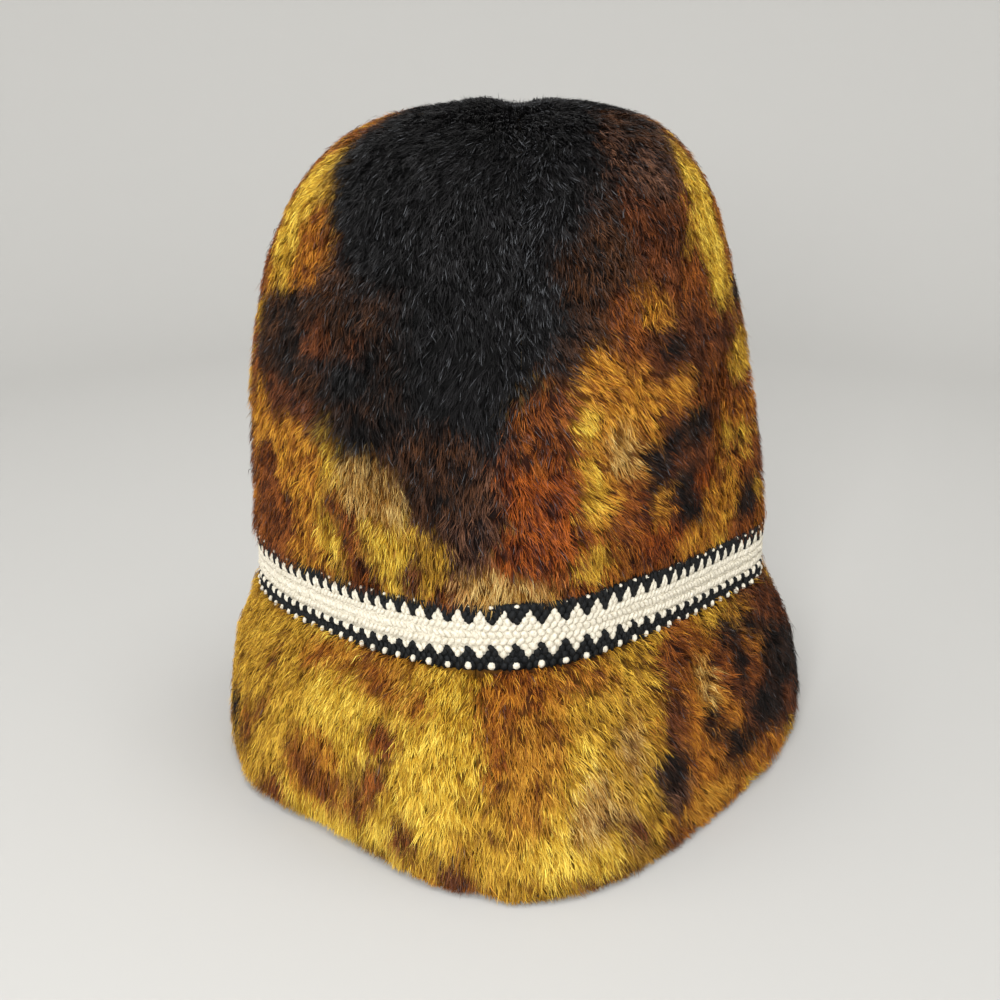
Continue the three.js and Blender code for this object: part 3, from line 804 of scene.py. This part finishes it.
def layStitches(angles, columns, rows, sizes, slants, lift, rng):
    # Corner points of stitches at these places, one block for each stitch: a plump bead of yarn,
    # for which a sphere's axis becomes the length
    bm = bmesh.new()
    bmesh.ops.create_uvsphere(bm, u_segments=6, v_segments=4, radius=0.5)
    sphere, faces = pointsAndFaces(bm)
    shape = (sphere * mm)[:, [0, 2, 1]] * np.array([1, 1, -1])
    uneven = stitchForm["uneven"]
    # Columns may be fractions: odd rows lie half a stitch along
    whole = np.append(angles, 2 * np.pi)
    angle = np.interp(columns % len(angles), np.arange(len(whole)), whole)
    height = braidLine(angle) + rows
    step = 1e-3
    ahead = footPoint(angle + step, 0, braidLine(angle + step))
    along = unit(ahead - footPoint(angle - step, 0, braidLine(angle - step)))
    outward = unit(np.cross(along, np.array([0, 0, 1.0])))
    upward = np.cross(outward, along)
    turn = np.radians(slants + rng.normal(0, uneven["turn"], len(slants)))
    length = along * np.sin(turn)[:, None] + upward * np.cos(turn)[:, None]
    width = along * np.cos(turn)[:, None] - upward * np.sin(turn)[:, None]
    scale = sizes * (1 + rng.normal(0, uneven["size"], sizes.shape))
    spacing = np.linalg.norm(footPoint(np.roll(angles, -1), 0, 0.0) - footPoint(angles, 0, 0.0), axis=1)
    scale[:, 0] *= np.interp(columns % len(angles), np.arange(len(angles)), spacing)
    centres = footPoint(angle, stitchForm["band"] + lift, height)
    centres = centres + rng.normal(0, uneven["place"], (len(angle), 3))
    local = shape[None, :, :] * scale[:, None, :]
    points = (
        centres[:, None, :]
        + width[:, None, :] * local[:, :, :1]
        + length[:, None, :] * local[:, :, 1:2]
        + outward[:, None, :] * local[:, :, 2:]
    )
    return points, faces


def bandPart(bm, lowEdge, highEdge, angles):
    # A closed strip of the band between two edges, which give a height over the braid's line
    columns = len(angles)
    made = bmesh.ops.create_grid(bm, x_segments=columns, y_segments=1, size=1)["verts"]
    for vertex in made:
        column = round((vertex.co.x + 1) / 2 * columns) % columns
        edge = highEdge(column) if vertex.co.y > 0 else lowEdge(column)
        angle = angles[column]
        vertex.co = Vector(footPoint(angle, stitchForm["band"], braidLine(angle) + edge)) * mm
    bmesh.ops.remove_doubles(bm, verts=made, dist=0.01 * mm)
    faces = bm.faces[:]
    bmesh.ops.recalc_face_normals(bm, faces=faces)
    inside = bmesh.ops.extrude_face_region(bm, geom=faces)["geom"]
    pushed = [item for item in inside if isinstance(item, bmesh.types.BMVert)]
    thickness = stitchForm["band"] - stitchForm["bandGap"]
    for vertex in pushed:
        point = np.array(vertex.co) / mm
        outward = point[:2] - np.array(hatForm["middle"])
        vertex.co -= Vector((*(outward / np.linalg.norm(outward) * thickness), 0)) * mm
    bmesh.ops.recalc_face_normals(bm, faces=bm.faces[:])


def makeBraidPart(name, lowEdge, highEdge, angles, laid, rng):
    bm = bmesh.new()
    bandPart(bm, lowEdge, highEdge, angles)
    bandPoints, faces = pointsAndFaces(bm)
    points, shapeFaces = layStitches(angles, *laid, rng)
    for stitch in range(len(points)):
        first = len(bandPoints) + stitch * points.shape[1]
        faces += [tuple(first + corner for corner in face) for face in shapeFaces]
    mesh = bpy.data.meshes.new(name)
    mesh.from_pydata((np.concatenate([bandPoints, points.reshape(-1, 3)]) * mm).tolist(), [], faces)
    mesh.validate()
    mesh.shade_smooth()
    return bpy.data.objects.new(name, mesh)


def makeBraid(creamYarn, blackYarn):
    rng = np.random.default_rng(31)
    teeth, perTooth, rowCount = braidForm["teeth"], stitchForm["perTooth"], stitchForm["rows"]
    pitch = braidForm["height"] / rowCount
    column, row = np.meshgrid(np.arange(teeth * perTooth), np.arange(rowCount), indexing="ij")
    column, row = column.ravel(), row.ravel()
    cream = np.array(stitchChart, bool)[row, column % perTooth]
    angles = knitAngles(teeth * perTooth)
    stretch = stretchAt(angles)
    height = (row + 0.5) * pitch - braidForm["height"] / 2
    height += (np.array(sideRows)[row] - height) * (1 - stretch[column])
    slanted = abs(height) < stitchForm["slantWithin"]
    slant = np.where(slanted, stitchForm["slant"], stitchForm["edgeSlant"])
    slant = np.where(row % 2 == 0, 1, -1) * slant
    fullSize = [stitchForm["width"], stitchForm["length"], stitchForm["depth"]]
    size = np.tile(fullSize, (len(row), 1)).astype(float)
    lowTeeth = (row == 2) | (row == 3)
    short = stitchForm["lowTeeth"]
    size[lowTeeth, 1] *= short["least"] + short["stretched"] * stretch[column[lowTeeth]]
    column = column + 0.5 * (row % 2)
    creamHalf = braidForm["cream"] / 2
    outer = braidForm["height"] / 2

    def reach(stitch):  # how far the cream's teeth reach at a stitch: each tooth's last is its tip
        share = stitchForm["dip"]
        if stitch % perTooth == perTooth - 1:
            share = stitchForm["tip"]["least"] + stitchForm["tip"]["stretched"] * stretch[stitch]
        return creamHalf + braidForm["tooth"] * share

    gap = stitchForm["colourGap"]
    parts = (
        ("braid-cream", "braid_cream", "cream_yarn", creamYarn, cream,
         lambda stitch: -reach(stitch), reach),
        ("braid-upper-edge", "braid_upper_edge", "black_yarn", blackYarn, ~cream & (height > 0),
         lambda stitch: reach(stitch) + gap, lambda stitch: outer),
        ("braid-lower-edge", "braid_lower_edge", "black_yarn", blackYarn, ~cream & (height < 0),
         lambda stitch: -outer, lambda stitch: -reach(stitch) - gap),
    )
    for name, node, slotName, material, chosen, lowEdge, highEdge in parts:
        laid = [column[chosen], height[chosen], size[chosen], slant[chosen]]
        laid.append(np.full(len(laid[0]), stitchForm["lift"]))
        if node == "braid_cream":
            for side, picot in ((-1, picotForm["lower"]), (1, picotForm["upper"])):
                loops = (
                    np.arange(teeth) * perTooth + picotForm["at"],
                    np.full(teeth, side * (outer - picot["inset"])),
                    np.tile(picot["size"], (teeth, 1)),
                    np.full(teeth, picotForm["slant"]),
                    np.full(teeth, picot["stands"]),
                )
                laid = [np.concatenate(both) for both in zip(laid, loops)]
        piece = makeBraidPart(name, lowEdge, highEdge, angles, laid, rng)
        place(piece, [node], slotName, material)


# The pieces

pile = newMaterial("dyed plush pile", pileInputs)
underpile = newMaterial("dense plush underpile", underpileInputs)
backing = newMaterial("plain woven cotton backing", backingInputs)
creamYarn = newMaterial("cream cotton yarn", lambda tree: yarnInputs(tree, ("#c2bba8", "#e0d9c9"), 0.2))
blackYarn = newMaterial("black cotton yarn", lambda tree: yarnInputs(tree, ("#020303", "#0e1114"), 0.25))

halves = ("left", "right")
furParts = {
    "crown": {
        "skin": crownSkin, "seam": hatForm["crownSeam"], "lean": leanOnCrown,
        "outside": crownOutside, "inside": crownInside, "rows": 64,
        "base": "rust", "patches": crownPatches,  # the base shows between the patches
        "lengths": ((0, 0.3, 0.75, 1), (6, 6, 5.6, 4.6)),  # hair length, along the skin
        "lifts": ((0, 0.1, 0.6, 0.85, 0.95, 1), (20, 25, 31, 38, 50, 78)),  # degrees from the skin, along it
        "streakiness": 0.4,  # the smaller, the longer the streaks down the cloth
        "bands": (("-low", (0, 0.42), 63500, 11), ("-high", (0.42, 1), 67500, 13)),  # part, hairs, seed
    },
    "brim": {
        "skin": brimSkin, "seam": hatForm["brimSeam"], "lean": leanOnBrim,
        "outside": brimOutside, "inside": brimInside, "rows": 24,
        "base": "gold", "patches": brimPatches,
        "lengths": ((0, 0.5, 1), (7, 7, 6)),
        "lifts": ((0, 0.5, 0.9, 1), (14, 18, 24, 34)),
        "streakiness": 0.18,
        "bands": (("", (0, 1.02), 73600, 21),),
    },
}
for half in halves:
    for part, form in furParts.items():
        wall = makeWall(f"{part}-{half}-cloth", f"{part}_{half}", form)
        place(wall, [f"{part}_{half}"], f"{part}_fur", underpile, backing)
print("cloth walls made")

makeBraid(creamYarn, blackYarn)
print("braid made")

for order, half in enumerate(halves):
    for part, form in furParts.items():
        for band, alongs, hairs, seed in form["bands"]:
            fur = growFur(f"{part}-{half}-fur{band}", f"{part}_{half}", form, alongs, hairs, seed + order)
            place(fur, [f"{part}_{half}"], f"{part}_fur", pile)
print("fur grown")

# Camera, lights and a plain pale studio

view = {"target": (-6.95, -0.2, 95.8), "distance": 535, "pitch": 20, "lens": 50.4, "sensor": 36}
pitch = math.radians(view["pitch"])
camera = bpy.data.objects.new("camera", bpy.data.cameras.new("camera"))
camera.data.lens = view["lens"]
camera.data.sensor_width = view["sensor"]
x, y, z = view["target"]
back, up = view["distance"] * math.cos(pitch), view["distance"] * math.sin(pitch)
camera.location = Vector((x, y - back, z + up)) * mm
camera.rotation_euler = (math.radians(90) - pitch, 0, 0)
bpy.context.scene.collection.objects.link(camera)
bpy.context.scene.camera = camera

studio = {
    "floor": 640,  # radius of the flat floor
    "bend": 360, "top": 1500, "board": "#b1b0ad", "air": "#f2f1ef", "airLight": 0.27,
    # Name, place, what it points at, size, power
    "lights": (
        ("key by the camera", (-140, -760, 420), (0, 0, 110), 200, 6.4),
        ("overhead softbox", (0, 100, 1300), (0, 100, 0), 1500, 3.4),
        ("wash on the far wall", (0, 0, 1150), (0, 1000, 150), 700, 11),
        ("fill on the right", (700, -350, 300), (0, 0, 160), 600, 2),
        ("fill on the left", (-700, -250, 300), (0, 0, 160), 600, 2),
    ),
}


def makeBackdrop():
    # A round floor that curves up into a wall, so that every side of the hat has the same ground
    bm = bmesh.new()
    floor, bend, top = studio["floor"], studio["bend"], studio["top"]
    turns = np.radians(np.linspace(0, 90, 13))
    profile = [(0, 0)] + [(floor + bend * math.sin(turn), bend * (1 - math.cos(turn))) for turn in turns]
    profile.append((floor + bend, top))
    verts = [bm.verts.new(Vector((reach, 0, height)) * mm) for reach, height in profile]
    edges = [bm.edges.new(pair) for pair in zip(verts, verts[1:])]
    full = {"angle": 2 * math.pi, "steps": 72, "use_merge": True}
    bmesh.ops.spin(bm, geom=verts + edges, cent=(0, 0, 0), axis=(0, 0, 1), **full)
    bmesh.ops.remove_doubles(bm, verts=bm.verts[:], dist=0.1 * mm)
    bmesh.ops.recalc_face_normals(bm, faces=bm.faces[:])
    bmesh.ops.reverse_faces(bm, faces=bm.faces[:])
    mesh = meshFrom(bm, "backdrop")
    mesh.shade_smooth()
    backdrop = bpy.data.objects.new("backdrop", mesh)
    bpy.context.scene.collection.objects.link(backdrop)
    # Painted board, matt, so that it shows no reflection of the hat
    paint = {"Base Color": (*toLinear(studio["board"]), 1), "Roughness": 0.8}
    backdrop.data.materials.append(newMaterial("matt pale board", lambda tree: paint))


def addLight(name, spot, target, size, power):
    lamp = bpy.data.lights.new(name, "AREA")
    lamp.size = size * mm
    lamp.energy = power
    light = bpy.data.objects.new(name, lamp)
    light.location = Vector(spot) * mm
    light.rotation_euler = (Vector(target) - Vector(spot)).to_track_quat("-Z", "Y").to_euler()
    bpy.context.scene.collection.objects.link(light)


makeBackdrop()
for light in studio["lights"]:
    addLight(*light)
world = bpy.data.worlds.new("studio")
world.use_nodes = True
air = world.node_tree.nodes["Background"]
air.inputs["Color"].default_value = (*toLinear(studio["air"]), 1)
air.inputs["Strength"].default_value = studio["airLight"]
bpy.context.scene.world = world
bpy.context.scene.view_settings.view_transform = "Standard"
